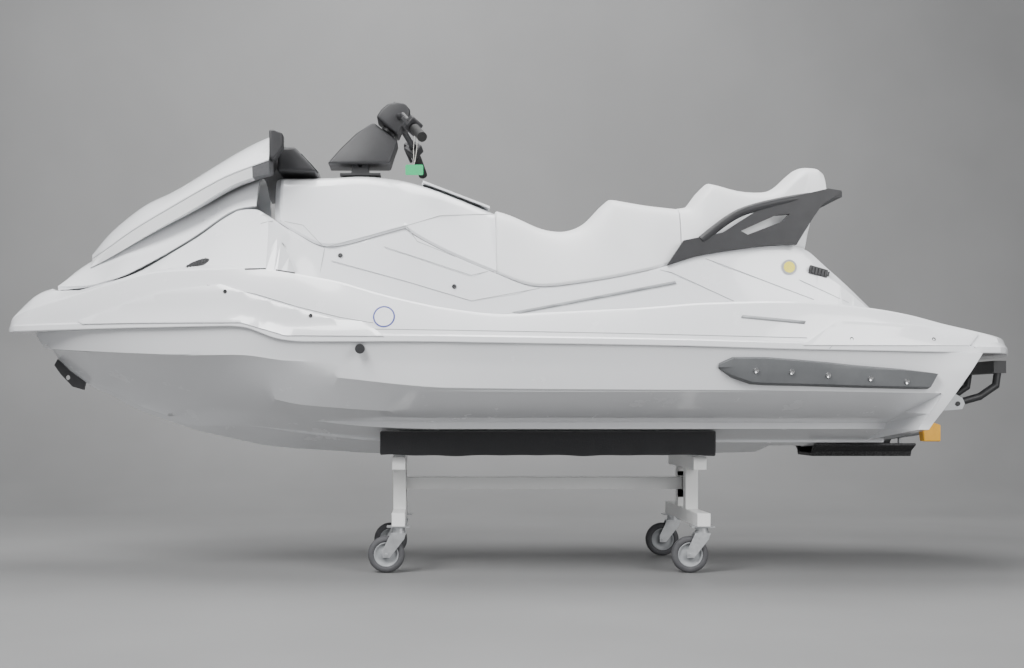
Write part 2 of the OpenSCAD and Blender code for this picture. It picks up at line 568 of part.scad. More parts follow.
// ---- Jet drive
tunnel_x = 1180;
pump_h = 122;
nozzle_x = 1500;
pump_r = pump_bore / 2;
pump_len = (nozzle_x - tunnel_x) * kl;
pivot_x = mm(nozzle_x) + 44;
pin_r = 6;
fit = 0.05;
module at_pump(x = 0) {
    translate([mm(tunnel_x) + gap + x, 0, up(pump_h)]) rotate([0, 90, 0]) children();
}
module pump_housing() {
    color("silver") {
        at_pump() difference() {
            cylinder(h = pump_len - 8, r = pump_r + pump_wall);
            translate([0, 0, -1]) cylinder(h = pump_len + 2, r = pump_r);
        }
        // Stator: a hub on four vanes, with the shaft's bearing in it
        at_pump(190) difference() {
            union() {
                cylinder(h = 70, r = 34);
                for (a = [0:90:359]) rotate([0, 0, a]) translate([20, -4, 0]) cube([pump_r - 18, 8, 60]);
            }
            translate([0, 0, -1]) cylinder(h = 80, r = 12 + fit);
        }
        // Lugs for the nozzle, above and below, and for the bucket at the sides
        for (k = [-1, 1]) {
            difference() {
                translate([pivot_x - 80, -16, up(pump_h) + k * (pump_r + 8) - 6]) cube([96, 32, 12]);
                translate([pivot_x, 0, up(pump_h) + k * (pump_r + 8)]) cylinder(h = 20, r = pin_r + fit, center = true);
            }
            translate([pivot_x - 80, k * (pump_r + 8) - 5, up(pump_h) - 14]) cube([96, 10, 28]);
            translate([pivot_x, k * (pump_r + 20), up(pump_h)]) rotate([90, 0, 0]) cylinder(h = 34, r = pin_r, center = true);
        }
    }
}
module impeller() {
    color("silver") at_pump(92) {
        cylinder(h = 88, r = 34);
        translate([0, 0, -60]) cylinder(h = 240, r = 12);
        for (a = [0:90:359]) rotate([0, 0, a]) translate([28, 0, 44]) rotate([52, 0, 0])
            translate([0, -34, -4]) cube([pump_r - 36, 68, 8]);
    }
}
module jet_nozzle() {
    color("silver") {
        translate([pivot_x - 40, 0, up(pump_h)]) rotate([0, 90, 0]) difference() {
            cylinder(h = 108, r1 = pump_r - 12, r2 = nozzle_bore / 2 + 10);
            translate([0, 0, -1]) cylinder(h = 42, r1 = pump_r - 22, r2 = nozzle_bore / 2);
            translate([0, 0, 40]) cylinder(h = 80, r = nozzle_bore / 2);
        }
        for (k = [-1, 1]) translate([pivot_x, 0, up(pump_h) + k * (pump_r - 4)])
            cylinder(h = 34, r = pin_r, center = true);
    }
}
bucket_y = pump_r + 22;
module reverse_bucket() {
    color("silver") translate([pivot_x, 0, up(pump_h)]) {
        both() difference() {
            plate_xz([[-16, -14], [-16, 14], [30, 118], [126, 60], [20, -14]], bucket_y, 8);
            rotate([90, 0, 0]) cylinder(h = 400, r = pin_r + fit, center = true);
        }
        plate_xz(concat(
            [for (a = [24:8:80]) [132 * cos(a), 132 * sin(a)]],
            [for (a = [80:-8:24]) [124 * cos(a), 124 * sin(a)]]
        ), -bucket_y - 8, 2 * bucket_y + 16);
    }
}

// ---- Boarding step and tow eye
step_at = [1700, 186];
step_w = 136;
hinge_r = 8;
bracket_y = step_w + 20;
module step_brackets() {
    color("silver") both() difference() {
        plate_xz([for (p = [
            [lean(1465, 150) + 0.6, 150], [lean(1465, 280) + 0.6, 280], [1716, 208], [1726, 186], [1716, 166]
        ]) [mm(p[0]), up(p[1])]], bracket_y * kw, 12);
        translate([mm(step_at[0]), 0, up(step_at[1])]) rotate([90, 0, 0])
            cylinder(h = 600, r = hinge_r + fit, center = true);
    }
}
module boarding_step() {
    arm = step_w * kw;
    tread_x = mm(1838);
    color("dimgray") {
        both() bar([
            [mm(step_at[0]), arm, up(step_at[1])], [mm(step_at[0] + 92), arm, up(step_at[1] + 26)],
            [mm(step_at[0] + 150), arm, up(step_at[1] + 66)], [mm(step_at[0] + 158), arm, up(step_at[1] + 120)]
        ], step_tube / 2);
        both() translate([mm(step_at[0]), arm, up(step_at[1])]) rotate([-90, 0, 0])
            cylinder(h = bracket_y * kw - arm + 16, r = hinge_r);
        translate([tread_x, -arm - 14, up(297)]) cube([44, 2 * arm + 28, 44]);
    }
}
module stern_tow_eye() {
    x = lean(1465, 326);
    color("silver") difference() {
        plate_xz([for (p = [[lean(1465, 306) + 0.6, 306], [lean(1465, 346) + 0.6, 346], [1662, 346],
            [1676, 326], [1662, 300], [1640, 292]]) [mm(p[0]), up(p[1])]], -8, 16);
        translate([mm(1640), 0, up(321)]) rotate([90, 0, 0]) cylinder(h = 40, r = tow_eye_r, center = true);
    }
}
module drain_outlets() {
    color("silver") both() translate([mm(-445), side_at(-429, 384) * kw + 0.5, up(366)]) rotate([-90, 0, 0])
        cylinder(h = 9, r = 16);
}
module engine_block() {
    color("gray") translate([mm(-120), -170, up(bay_floor) + gap]) cube([540 * kl, 340, 380]);
}

// ---- Steering
tilt_at = [-470, 1068];
steer_lean = 38;
bar_r = 11;
bar_mid = [-6, 0, 226];
bar_bend = [24, 150, 222];
bar_knee = [72, bar_w / 2 - 188, 208];
bar_end = [152, bar_w / 2 - 4, 170];
module on_column() {
    translate([mm(tilt_at[0]), 0, up(tilt_at[1])]) rotate([0, steer_lean, 0]) children();
}
// Along the straight end of the bar, from the knee outwards
module on_bar(l) {
    d = bar_end - bar_knee;
    for (s = [-1, 1]) scale([1, s, 1]) translate(bar_knee)
        rotate([0, acos(d[2] / norm(d)), atan2(d[1], d[0])]) translate([0, 0, l]) children();
}
bar_l = norm(bar_end - bar_knee);
module steering_base() {
    color("dimgray") {
        translate([mm(-545), -60, up(1030) + gap]) cube([150 * kl, 120, 8]);
        both() difference() {
            plate_xz([[mm(-505), up(1032)], [mm(-496), up(1068) + 14], [mm(-444), up(1068) + 14], [mm(-435), up(1032)]], 46, 10);
            translate([mm(tilt_at[0]), 0, up(tilt_at[1])]) rotate([90, 0, 0]) cylinder(h = 200, r = hinge_r + fit, center = true);
        }
    }
}
module steering_column() {
    color("dimgray") on_column() {
        rotate([90, 0, 0]) cylinder(h = 91, r = 18, center = true);
        rotate([90, 0, 0]) cylinder(h = 112, r = hinge_r, center = true);
        cylinder(h = 160, r = 30);
        cylinder(h = 196, r = 14);
    }
}
module handlebar() {
    color("dimgray") on_column() {
        difference() {
            translate([0, 0, 160 + gap]) cylinder(h = 50, r = 28);
            translate([0, 0, 100]) cylinder(h = 97, r = 14 + fit);
        }
        translate([-44, -62, 206]) cube([92, 124, 50]);
        for (s = [-1, 1]) scale([1, s, 1]) bar([bar_mid + [0, 30, 0], bar_bend, bar_knee, bar_end], bar_r);
    }
}
module grips() {
    color("black") on_column() on_bar(bar_l - 126) difference() {
        cylinder(h = 132, r = grip_d / 2);
        translate([0, 0, -1]) cylinder(h = 127.5, r = bar_r + gap);
    }
}
module control_housings() {
    color("black") on_column() on_bar(12) difference() {
        translate([-27, -24, 0]) cube([52, 52, 44]);
        translate([0, 0, -1]) cylinder(h = 50, r = bar_r + gap);
    }
}
module control_levers() {
    color("black") on_column() on_bar(12) translate([-5, 0, 0]) rotate([90, 0, 90]) linear_extrude(height = 10)
        polygon([[28 + gap, 10], [28 + gap, 34], [40, 46], [50, 70], [47, 150], [54, 150], [60, 70], [54, 36], [44, 10]]);
}
function col(p) =
    let (c = cos(steer_lean), k = sin(steer_lean))
    [mm(tilt_at[0]) + p[0] * c + p[2] * k, p[1], up(tilt_at[1]) - p[0] * k + p[2] * c];
tag_on = bar_knee + (bar_end - bar_knee) / bar_l * 67; // between the switch housing and the grip
tag_at = [col([tag_on[0], -tag_on[1], tag_on[2]])[0], -tag_on[1], up(997)];
tag_h = 36;
module tag_cord() {
    color("white") rod(tag_at + [0, 0, tag_h + gap], col([tag_on[0], -tag_on[1], tag_on[2]]) - [0, 0, bar_r * 1.09 + 1.1], 1.5);
}
module hang_tag() {
    color("green") translate(tag_at - [31, 1, 0]) cube([62, 2, tag_h]);
}

// ---- Dolly
dolly_mid = 160;
frame_x = [dolly_mid - frame_gap / 2, dolly_mid + frame_gap / 2];
cross_l = 520;
bunk_y = [236, 300];
module plate_yz(points, x0, t) {
    translate([x0, 0, 0]) rotate([90, 0, 90]) linear_extrude(height = t) polygon(points);
}
module dolly_frame() {
    color("white") {
        for (x = frame_x) {
            translate([x - tube / 2, -foot_l / 2, caster_h]) cube([tube, foot_l, tube]);
            translate([x - tube / 2, -cross_l / 2, upper_z]) cube([tube, cross_l, tube]);
            for (y = [-81, 81]) translate([x - tube / 2, y - tube / 2, caster_h + tube - 1]) cube([tube, tube, post_h + 2]);
            translate([x - tube / 2 + 1, -81, upper_z - 81]) cube([tube - 2, 162, tube]);
        }
        translate([frame_x[0], -tube / 2, upper_z - 80]) cube([frame_gap, tube, tube - 2]);
    }
}
module bunks() {
    color("dimgray") both() plate_yz([[bunk_y[0], bunk_z + gap], [bunk_y[1] * kw, bunk_z + gap],
        [bunk_y[1] * kw, bunk_z + bunk_h - 0.5], [bunk_y[0], bunk_z + bunk_h - 20]], dolly_mid - bunk_l / 2 - 8, bunk_l);
}
trail = 42;
caster_y = foot_l / 2 - 40;
king_r = 6;
module caster_plates() {
    color("silver") for (x = frame_x, s = [-1, 1]) translate([x, s * caster_y, caster_h - gap]) difference() {
        union() {
            translate([-40, -30, -4]) cube([80, 60, 4]);
            translate([0, 0, -16]) cylinder(h = 13, r = 22);
        }
        translate([0, 0, -18]) cylinder(h = 12, r = king_r + fit);
    }
}
module fork(x, s) {
    leg = wheel_w / 2 + 5;
    color("silver") translate([x, s * caster_y, 0]) {
        translate([0, 0, caster_h - 25]) cylinder(h = 8.4, r = 24);
        translate([0, 0, caster_h - 24]) cylinder(h = 16, r = king_r);
        translate([-26, -leg - 3, caster_h - 28]) cube([52, 2 * leg + 6, 5]);
        for (k = [-1, 1]) plate_xz([
            [-26, caster_h - 24], [26, caster_h - 24], [20, caster_h - 44], [-trail + 12, wheel_d / 2 - 10],
            [-trail - 12, wheel_d / 2 - 10], [-trail - 13, wheel_d / 2 + 14]
        ], k > 0 ? leg : -leg - 3, 3);
        translate([-trail, 0, wheel_d / 2]) rotate([90, 0, 0]) cylinder(h = 2 * leg + 14, r = 5, center = true);
    }
}
module wheel(x, s) {
    color("dimgray") translate([x - trail, s * caster_y, wheel_d / 2]) rotate([90, 0, 0]) difference() {
        union() {
            cylinder(h = wheel_w, r = wheel_d / 2, center = true);
            cylinder(h = wheel_w + 9, r = 12, center = true);
        }
        cylinder(h = wheel_w + 20, r = 5 + fit, center = true);
    }
}
module fork_front_port() { fork(frame_x[0], -1); }
module fork_front_starboard() { fork(frame_x[0], 1); }
module fork_rear_port() { fork(frame_x[1], -1); }
module fork_rear_starboard() { fork(frame_x[1], 1); }
module wheel_front_port() { wheel(frame_x[0], -1); }
module wheel_front_starboard() { wheel(frame_x[0], 1); }
module wheel_rear_port() { wheel(frame_x[1], -1); }
module wheel_rear_starboard() { wheel(frame_x[1], 1); }

hull_shell();  // hull
deck();
hood();
hood_trim();
hood_cowl();
mirrors();
console();
dash();
display();
bow_eye();
glovebox_lid();
front_seat();
rear_seat();
grab_rail();
footwell_mats();
platform_mat();
sponsons();
ride_plate();
intake_grate();
stern_tabs();
pump_housing();
impeller();
jet_nozzle();
reverse_bucket();
step_brackets();
boarding_step();
stern_tow_eye();
drain_outlets();
engine_block();
steering_base();
steering_column();
handlebar();
grips();
control_housings();
control_levers();
tag_cord();
hang_tag();
dolly_frame();
bunks();
caster_plates();
fork_front_port();
fork_front_starboard();
fork_rear_port();
fork_rear_starboard();
wheel_front_port();
wheel_front_starboard();
wheel_rear_port();
wheel_rear_starboard();
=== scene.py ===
import math

import bmesh
import bpy
from mathutils import Matrix, Vector, noise
from mathutils.bvhtree import BVHTree


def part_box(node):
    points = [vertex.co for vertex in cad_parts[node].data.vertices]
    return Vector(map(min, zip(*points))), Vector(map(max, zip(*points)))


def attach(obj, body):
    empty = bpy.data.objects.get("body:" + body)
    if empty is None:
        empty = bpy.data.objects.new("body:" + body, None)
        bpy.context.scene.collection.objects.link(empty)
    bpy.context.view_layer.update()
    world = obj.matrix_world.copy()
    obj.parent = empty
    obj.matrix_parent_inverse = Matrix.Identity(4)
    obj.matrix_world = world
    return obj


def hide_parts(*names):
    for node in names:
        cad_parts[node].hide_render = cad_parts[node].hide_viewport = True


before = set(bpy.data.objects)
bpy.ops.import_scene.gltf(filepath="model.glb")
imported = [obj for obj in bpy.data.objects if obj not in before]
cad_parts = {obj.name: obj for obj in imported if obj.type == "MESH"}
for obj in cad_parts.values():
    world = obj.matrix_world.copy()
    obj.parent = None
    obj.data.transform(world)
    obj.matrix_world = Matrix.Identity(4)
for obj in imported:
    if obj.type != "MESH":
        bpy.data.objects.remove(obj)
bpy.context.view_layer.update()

# ---- The view
# A 50 mm lens level with the hull's side, 5.2 m off the centreline. The shift
# keeps the craft in the frame with the lens level.
lens = bpy.data.cameras.new("side view")
lens.lens = 50
lens.sensor_width = 36
lens.shift_x = 0.0820
lens.shift_y = 0.0732
camera = bpy.data.objects.new("side view", lens)
camera.location = (-0.262, -5.205, 0.5655)
camera.rotation_euler = (math.radians(90), 0, 0)
bpy.context.scene.collection.objects.link(camera)
bpy.context.scene.camera = camera


# ---- Hang tag and its string
# A stiff card tag on a thin cotton loop, tied round the port side of the
# handlebar. The loop hangs straight under the card's weight.
class Value:
    """A number in a material. Arithmetic on it adds the Math nodes."""

    def __init__(self, coat, socket):
        self.coat, self.socket = coat, socket

    def maths(self, operation, *terms):
        return self.coat.add("ShaderNodeMath", {"operation": operation}, dict(enumerate(terms)))

    def __add__(self, other):
        return self.maths("ADD", self, other)

    def __sub__(self, other):
        return self.maths("SUBTRACT", self, other)

    def __rsub__(self, other):
        return self.maths("SUBTRACT", other, self)

    def __mul__(self, other):
        return self.maths("MULTIPLY", self, other)

    def __gt__(self, other):
        return self.maths("GREATER_THAN", self, other)

    __radd__ = __add__
    __rmul__ = __mul__


class Coat:
    """A material: the constants go on its shader, and add() makes each other node."""

    def __init__(self, name, colour, **constants):
        self.data = bpy.data.materials.new(name)
        self.data.use_nodes = True
        self.tree = self.data.node_tree
        self.shader = self.tree.nodes["Principled BSDF"]
        self.shader.inputs["Base Color"].default_value = (*colour, 1)
        for words, number in constants.items():
            self.shader.inputs[words.replace("_", " ")].default_value = number
        self.place = self.add("ShaderNodeTexCoord", {}, {}, "Object")

    def add(self, kind, settings, sockets, result=0):
        made = self.tree.nodes.new(kind)
        for key, setting in settings.items():
            if key == "stops":
                for stop, (spot, shade) in zip(made.color_ramp.elements, setting):
                    stop.position, stop.color = spot, (*shade, 1)
            else:
                setattr(made, key, setting)
        for key, value in sockets.items():
            self.join(value, made.inputs[key])
        return Value(self, made.outputs[result])

    def join(self, value, socket):
        if isinstance(value, Value):
            self.tree.links.new(value.socket, socket)
        else:
            socket.default_value = value

    def to(self, socket, value):
        self.join(value, self.shader.inputs[socket])

    def mottle(self, scale, detail=4, rough=0.55, place=None):
        return self.add("ShaderNodeTexNoise", {}, {
            "Vector": place or self.place, "Scale": scale, "Detail": detail, "Roughness": rough})

    def stretch(self, x, y, z):
        return self.add("ShaderNodeMapping", {}, {"Vector": self.place, "Scale": (x, y, z)})

    def cells(self, scale, result="Distance", feature="F1"):
        sockets = {"Vector": self.place, "Scale": scale}
        return self.add("ShaderNodeTexVoronoi", {"feature": feature}, sockets, result)

    def step(self, value, low, high, start=0, end=1):
        return self.add("ShaderNodeMapRange", {}, {0: value, 1: low, 2: high, 3: start, 4: end})

    def shade(self, mask, one, other):
        return self.add("ShaderNodeMix", {"data_type": "RGBA"}, {
            0: mask, 6: one if isinstance(one, Value) else (*one, 1), 7: (*other, 1)}, 2)

    def bump(self, height, distance, strength=1.0, under=None):
        sockets = {"Height": height, "Distance": distance, "Strength": strength}
        if under:
            sockets["Normal"] = under
        return self.add("ShaderNodeBump", {}, sockets)


def show(name, shape, body, coat, smooth=True):
    """Puts a finished bmesh in the scene, on its body, with its material."""
    mesh = bpy.data.meshes.new(name)
    shape.to_mesh(mesh)
    shape.free()
    piece = bpy.data.objects.new(name, mesh)
    bpy.context.scene.collection.objects.link(piece)
    mesh.materials.append(coat.data)
    for face in mesh.polygons:
        face.use_smooth = smooth
    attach(piece, body)
    return piece


tag_low, tag_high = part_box("hang_tag")
bar_low, bar_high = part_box("tag_cord")
tag_mid = (tag_low + tag_high) / 2

string_coat = Coat("cotton string", (0.82, 0.80, 0.74), Roughness=0.9)
strand = string_coat.mottle(900, 2, place=string_coat.stretch(1, 1, 0.25))
string_coat.to("Base Color", string_coat.shade(strand, (0.66, 0.64, 0.58), (0.90, 0.88, 0.83)))
string_coat.to("Normal", string_coat.bump(strand, 0.0004, 0.6))

string_r = 0.0008
loop_top = Vector((bar_low.x + 0.004, bar_high.y - 0.002, bar_high.z - 0.001))
loop_end = Vector((bar_low.x + 0.010, bar_high.y - 0.003, bar_high.z - 0.001))
knot_at = Vector((tag_mid.x, tag_mid.y, tag_high.z + 0.001))
string_path = []
for leg, (start, end) in enumerate(((loop_top, knot_at), (knot_at, loop_end))):
    for i in range(12):
        share = i / 12
        spot = start.lerp(end, share)
        slack = 0.004 * math.sin(math.pi * share)
        string_path.append(spot + Vector((slack * (1 if leg else -1), 0, 0)))
string_path.append(loop_end)
string_curve = bpy.data.curves.new("tag_string", "CURVE")
string_curve.dimensions = "3D"
string_curve.bevel_depth = string_r
string_curve.bevel_resolution = 2
string_line = string_curve.splines.new("POLY")
string_line.points.add(len(string_path) - 1)
for spot, knot in zip(string_path, string_line.points):
    knot.co = (*spot, 1)
string_curve.materials.append(string_coat.data)
string_piece = bpy.data.objects.new("tag_string", string_curve)
bpy.context.scene.collection.objects.link(string_piece)
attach(string_piece, "handlebars")
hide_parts("tag_cord")

card_coat = Coat("green card", (0.02, 0.42, 0.16), Roughness=0.5)
fibre = card_coat.mottle(240, 5)
card_coat.to("Base Color", card_coat.shade(fibre, (0.012, 0.34, 0.12), (0.03, 0.50, 0.20)))
card_coat.to("Normal", card_coat.bump(fibre, 0.0002, 0.5))
card = bmesh.new()
bmesh.ops.create_cube(card, size=1)
bmesh.ops.scale(card, verts=card.verts, vec=tag_high - tag_low)
bmesh.ops.translate(card, verts=card.verts, vec=tag_mid)
bmesh.ops.bevel(card, geom=[e for e in card.edges if abs((e.verts[0].co - e.verts[1].co).y) > 0.0005],
                offset=0.005, segments=4, profile=0.5, affect="EDGES", material=-1)
card_piece = show("tag_card", card, "handlebars", card_coat, smooth=False)
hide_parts("hang_tag")
string_length = sum((b - a).length for a, b in zip(string_path, string_path[1:]))

# ---- Hull, deck and hood skins
# The hull and deck are moulded in glass-fibre and finished in white gelcoat.
# They meet at the bond flange, under the rub rail, and the hood is bolted to
# its hinge at the bow.
gelcoat = Coat("white gelcoat", (0.84, 0.85, 0.87), Roughness=0.22, Coat_Weight=0.7, Coat_Roughness=0.06)
cloudy = gelcoat.mottle(1.6, 5)
gelcoat.to("Base Color", gelcoat.shade(cloudy, (0.78, 0.79, 0.81), (0.88, 0.885, 0.90)))
gelcoat.to("Roughness", gelcoat.step(gelcoat.mottle(7, 6, 0.7), 0.3, 0.7, 0.16, 0.30))
peel = gelcoat.mottle(160, 2)
gelcoat.to("Normal", gelcoat.bump(peel, 0.0003, 0.12))


def copy_of(node, seam=35):
    """A bmesh copy of a CAD node, welded, with its flat triangles joined and its sharp edges marked."""
    shape = bmesh.new()
    shape.from_mesh(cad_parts[node].data)
    shape.transform(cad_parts[node].matrix_world)
    bmesh.ops.remove_doubles(shape, verts=shape.verts, dist=0.00005)
    bmesh.ops.join_triangles(shape, faces=shape.faces, angle_face_threshold=math.radians(22),
                             angle_shape_threshold=math.radians(75))
    for edge in shape.edges:
        edge.smooth = not (edge.is_manifold and edge.calc_face_angle(0) > math.radians(seam))
    return shape


def soften(piece, width, rounds=0, angle=35):
    """Rounds the piece's edges, and smooths a lofted skin between its stations."""
    edges = piece.modifiers.new("rounded edges", "BEVEL")
    edges.width, edges.segments, edges.profile = width, 3, 0.5
    edges.limit_method, edges.angle_limit = "ANGLE", math.radians(angle)
    if rounds:
        curves = piece.modifiers.new("smooth curves", "SUBSURF")
        curves.levels = curves.render_levels = rounds


def reskin(node, body, coat, width, rounds=0, angle=35):
    piece = show(node + "_skin", copy_of(node, angle), body, coat)
    soften(piece, width, rounds, angle)
    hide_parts(node)
    return piece


reskin("hull", "craft", gelcoat, 0.004, 1, 24)
reskin("deck", "craft", gelcoat, 0.006, 1, 24)
reskin("hood", "hood_lid", gelcoat, 0.004, 1, 30)
reskin("hood_cowl", "hood_lid", gelcoat, 0.004, 1, 30)
reskin("console", "craft", gelcoat, 0.005, 1, 24)
reskin("glovebox_lid", "glovebox_door", gelcoat, 0.006)

# ---- Hood's dark band and the mirrors
# A plastic band fills the step under the cowl, painted white along its upper
# part. Each mirror is a black moulded shell clipped to the cowl's rear corner.
grey_plastic = Coat("grey moulded plastic", (0.13, 0.135, 0.14), Roughness=0.55)
grain = grey_plastic.cells(650)
grey_plastic.to("Base Color", grey_plastic.shade(
    grey_plastic.mottle(14, 5), (0.105, 0.11, 0.115), (0.17, 0.175, 0.18)))
grey_plastic.to("Roughness", grey_plastic.step(grain, 0, 0.8, 0.45, 0.68))
grey_plastic.to("Normal", grey_plastic.bump(grain, 0.0003, 0.5))

black_plastic = Coat("black moulded plastic", (0.018, 0.018, 0.020), Roughness=0.42)
speck = black_plastic.cells(800)
black_plastic.to("Base Color", black_plastic.shade(
    black_plastic.mottle(20, 5), (0.012, 0.012, 0.013), (0.032, 0.032, 0.035)))
black_plastic.to("Roughness", black_plastic.step(speck, 0, 0.8, 0.34, 0.55))
black_plastic.to("Normal", black_plastic.bump(speck, 0.00025, 0.45))

band_coat = Coat("two-tone hood band", (0.10, 0.10, 0.105), Roughness=0.4)
along_hood = band_coat.add("ShaderNodeSeparateXYZ", {}, {0: band_coat.place}, 0)
up_hood = band_coat.add("ShaderNodeSeparateXYZ", {}, {0: band_coat.place}, 2)
paint_slope, paint_height, paint_end = 0.453, 1.716, 0.865
painted = (up_hood - along_hood * paint_slope > paint_height) * (along_hood * -1 > paint_end)
dark_part = band_coat.shade(band_coat.mottle(90, 4), (0.085, 0.085, 0.09), (0.14, 0.14, 0.145))
band_coat.to("Base Color", band_coat.shade(painted, dark_part, (0.84, 0.845, 0.85)))
band_coat.to("Roughness", band_coat.step(painted, 0, 1, 0.45, 0.16))
reskin("hood_trim", "hood_lid", band_coat, 0.002, 1, 30)
reskin("mirrors", "hood_lid", black_plastic, 0.006, 0, 30)
reskin("dash", "craft", black_plastic, 0.012, 0, 30)

# ---- Display
# A flat colour screen under a glass pane, pressed into the dash.
screen = Coat("display glass", (0.010, 0.012, 0.014), Roughness=0.08, Coat_Weight=1.0)
screen.to("Roughness", screen.step(screen.mottle(60, 4), 0.35, 0.7, 0.05, 0.16))
reskin("display", "craft", screen, 0.003)

# ---- Seats
# Two foam pads covered in white marine vinyl, sewn from a top panel and side
# panels. The front one lifts off over the engine hatch.
vinyl = Coat("white marine vinyl", (0.80, 0.80, 0.80), Roughness=0.48, Sheen_Weight=0.15)
hide = vinyl.cells(420)
vinyl.to("Base Color", vinyl.shade(vinyl.mottle(5, 5), (0.74, 0.745, 0.755), (0.84, 0.845, 0.85)))
vinyl.to("Roughness", vinyl.step(hide, 0, 0.8, 0.40, 0.58))
vinyl.to("Normal", vinyl.bump(hide, 0.0004, 0.45))
for seat in ("front_seat", "rear_seat"):
    pad = reskin(seat, "craft", vinyl, 0.010, 1, 30)

# ---- Grab rail
# A moulded black rail round the back of the rear seat, bolted to the deck, with
# a bent tube along its top.
reskin("grab_rail", "craft", black_plastic, 0.005, 0, 30)
hand_tube = bpy.data.curves.new("hand_tube", "CURVE")
hand_tube.dimensions, hand_tube.bevel_depth, hand_tube.bevel_resolution = "3D", 0.0155, 5
hand_tube.use_fill_caps = True
side = [(0.70, 0.20, 1.16), (0.795, 0.205, 1.24), (0.86, 0.205, 1.27), (1.0, 0.20, 1.30),
        (1.09, 0.19, 1.315), (1.15, 0.16, 1.32), (1.17, 0.08, 1.32)]
route = [(x, -y, z) for x, y, z in side] + [(1.175, 0, 1.32)] + side[::-1]
run = hand_tube.splines.new("NURBS")
run.points.add(len(route) - 1)
run.order_u, run.use_endpoint_u, run.resolution_u = 4, True, 6
for spot, knot in zip(route, run.points):
    knot.co = (*spot, 1)
hand_tube.materials.append(black_plastic.data)
hand_rail = bpy.data.objects.new("hand_rail_tube", hand_tube)
bpy.context.scene.collection.objects.link(hand_rail)
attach(hand_rail, "craft")

# ---- Guards, rub strip and shut lines
# White moulded guards are screwed over the bow and the quarters. A thin pale grey bead along each joint between
# mouldings is painted shade in the seam, and black beads along the gunwale top are painted shadow.
skins = {}
for node in ("hull", "deck", "console", "hood", "hood_cowl", "sponsons"):
    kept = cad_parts[node].data
    skins[node] = BVHTree.FromPolygons([tuple(v.co) for v in kept.vertices],
                                       [tuple(f.vertices) for f in kept.polygons])


def cut_across(shape, at, normal):
    """Adds edges where a plane crosses the shape."""
    bmesh.ops.bisect_plane(shape, geom=shape.verts[:] + shape.edges[:] + shape.faces[:],
                           plane_co=at, plane_no=normal)


def on_side(x, z, nodes, side=-1):
    """Where a line from abeam meets the outside of the craft, and which way the skin faces there."""
    best = None
    for node in nodes:
        spot, facing, _, _ = skins[node].ray_cast(Vector((x, side, z)), Vector((0, -side, 0)))
        if spot and (best is None or abs(spot.y) > abs(best[0].y)):
            best = (spot, facing if facing.y * side > 0 else -facing)
    return best


def overlay(name, outline, nodes, thickness, coat, body="craft", step=0.03, lift=0.0004, edge=0.0015):
    """A thin plate laid on both sides of the craft, cut to an outline seen from abeam."""
    shape = bmesh.new()
    shape.faces.new([shape.verts.new((x, 0, z)) for x, z in outline])
    for axis, spots in ((0, [p[0] for p in outline]), (2, [p[1] for p in outline])):
        cut = min(spots) + step
        while cut < max(spots):
            normal = Vector((1, 0, 0)) if axis == 0 else Vector((0, 0, 1))
            cut_across(shape, normal * cut, normal)
            cut += step
    for vert in shape.verts[:]:
        met = on_side(vert.co.x, vert.co.z, nodes)
        if met:
            vert.co = met[0] + met[1] * lift
        else:
            shape.verts.remove(vert)
    bmesh.ops.recalc_face_normals(shape, faces=shape.faces)
    if sum(f.normal.y * f.calc_area() for f in shape.faces) > 0:
        bmesh.ops.reverse_faces(shape, faces=shape.faces)
    made = bmesh.ops.duplicate(shape, geom=shape.faces[:])
    far = [e for e in made["geom"] if isinstance(e, bmesh.types.BMVert)]
    bmesh.ops.scale(shape, verts=far, vec=(1, -1, 1))
    bmesh.ops.reverse_faces(shape, faces=[e for e in made["geom"] if isinstance(e, bmesh.types.BMFace)])
    piece = show(name, shape, body, coat)
    wall = piece.modifiers.new("wall", "SOLIDIFY")
    wall.thickness, wall.offset = thickness, 1
    if edge:
        rounding = piece.modifiers.new("rounded edges", "BEVEL")
        rounding.width, rounding.segments, rounding.profile = edge, 2, 0.5
        rounding.limit_method, rounding.angle_limit = "ANGLE", math.radians(50)
    return piece


def shut_line(name, runs, nodes, radius, coat, body="craft"):
    """A thin bead of painted shade, for a seam or a gap, along each run of points seen from abeam, on both sides."""
    bead = bpy.data.curves.new(name, "CURVE")
    bead.dimensions, bead.bevel_depth, bead.bevel_resolution = "3D", radius, 1
    for points in runs:
        dense = []
        for a, b in zip(points, points[1:]):
            n = max(1, int((Vector(b) - Vector(a)).length / 0.02))
            dense += [Vector(a).lerp(Vector(b), i / n) for i in range(n)]
        dense.append(Vector(points[-1]))
        for side in (-1, 1):
            met = [on_side(p.x, p.y, nodes, side) for p in dense]
            stretch = []
            for m in met + [None]:
                if m and (not stretch or (m[0] - stretch[-1][0]).length < 0.05):
                    stretch.append(m)
                    continue
                if len(stretch) > 1:
                    run = bead.splines.new("POLY")
                    run.points.add(len(stretch) - 1)
                    for knot, at in zip(run.points, stretch):
                        knot.co = (*(at[0] + at[1] * radius * 0.1), 1)
                stretch = [m] if m else []
    bead.materials.append(coat.data)
    piece = bpy.data.objects.new(name, bead)
    bpy.context.scene.collection.objects.link(piece)
    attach(piece, body)
    return piece


